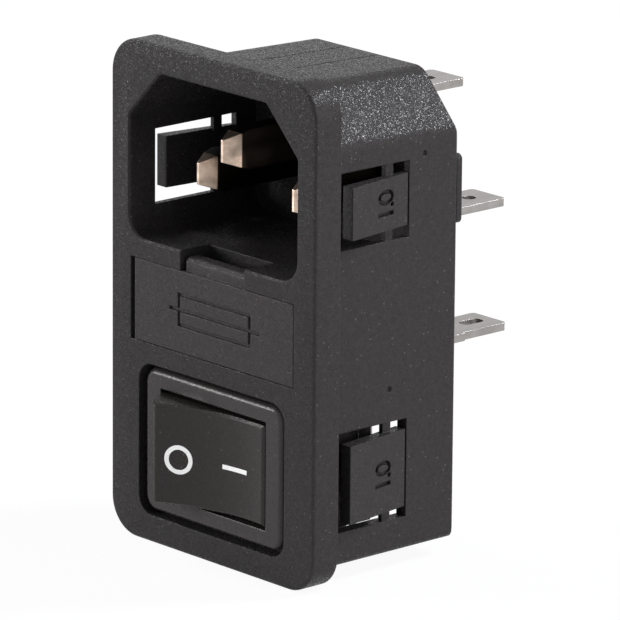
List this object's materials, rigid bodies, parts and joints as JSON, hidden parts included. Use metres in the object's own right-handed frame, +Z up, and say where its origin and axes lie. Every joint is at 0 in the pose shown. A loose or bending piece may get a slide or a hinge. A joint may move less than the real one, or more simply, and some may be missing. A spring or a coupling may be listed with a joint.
{
  "type": "power entry module",
  "caption": "Snap-in power entry module: recessed C14 inlet socket above a fuse drawer and a rocker switch, with push-on terminals behind.",
  "frame": {"origin": "on the flange's rear face, at the centre of the inlet's opening", "axes": "+X to the right seen from the front, +Y into the panel, +Z up"},
  "size_m": [0.03, 0.0341, 0.0506],
  "materials": {
    "housing_plastic": "black, fine spark texture",
    "switch_plastic": "black, semi-gloss",
    "base_plastic": "black, satin",
    "tinned_brass": "tin plated, satin",
    "nickelled_brass": "nickel plated, polished",
    "bare_copper": "copper alloy strip, satin",
    "silver_contact": "silver faced, satin",
    "spring_steel": "drawn wire",
    "fuse_glass": "clear",
    "fuse_cap": "nickel plated, polished",
    "fuse_wire": "thin wire"
  },
  "bodies": {
    "module": {"housing": "housing_plastic", "terminal_carrier": "housing_plastic", "earth_pin": "nickelled_brass", "line_pin": "nickelled_brass", "neutral_pin": "nickelled_brass", "earth_blade": "tinned_brass", "neutral_blade": "tinned_brass", "load_clip": "tinned_brass", "line_clip": "tinned_brass", "line_strap": "tinned_brass", "switch_frame": "switch_plastic", "switch_base": "base_plastic", "fixed_contact": "silver_contact", "common_terminal": "tinned_brass", "load_terminal": "tinned_brass"},
    "drawer": {"fuse_drawer": "housing_plastic", "main_fuse_glass": "fuse_glass", "main_fuse_cap_left": "fuse_cap", "main_fuse_cap_right": "fuse_cap", "main_fuse_wire": "fuse_wire", "spare_fuse_glass": "fuse_glass", "spare_fuse_cap_left": "fuse_cap", "spare_fuse_cap_right": "fuse_cap", "spare_fuse_wire": "fuse_wire"},
    "rocker_switch": {"rocker": "switch_plastic", "plunger": "base_plastic", "plunger_spring": "spring_steel"},
    "lever": {"contact_lever": "bare_copper", "moving_contact": "silver_contact"}
  },
  "joints": [
    {"name": "drawer_slide", "type": "slide", "parent": "module", "child": "drawer", "axis": [0, -1, 0], "range_m": [0, 0.0175]},
    {"name": "rocker_tilt", "type": "hinge", "parent": "module", "child": "rocker_switch", "pos_m": [0, 0.00034, -0.02866], "axis": [0, 0, 1], "range_deg": [-26.3, 0]},
    {"name": "lever_tilt", "type": "hinge", "parent": "module", "child": "lever", "pos_m": [0, 0.0069, -0.02866], "axis": [0, 0, 1], "range_deg": [0, 16]}
  ],
  "couplings": [
    {"joint": "lever_tilt", "follows": "rocker_tilt", "ratio": -0.608}
  ]
}
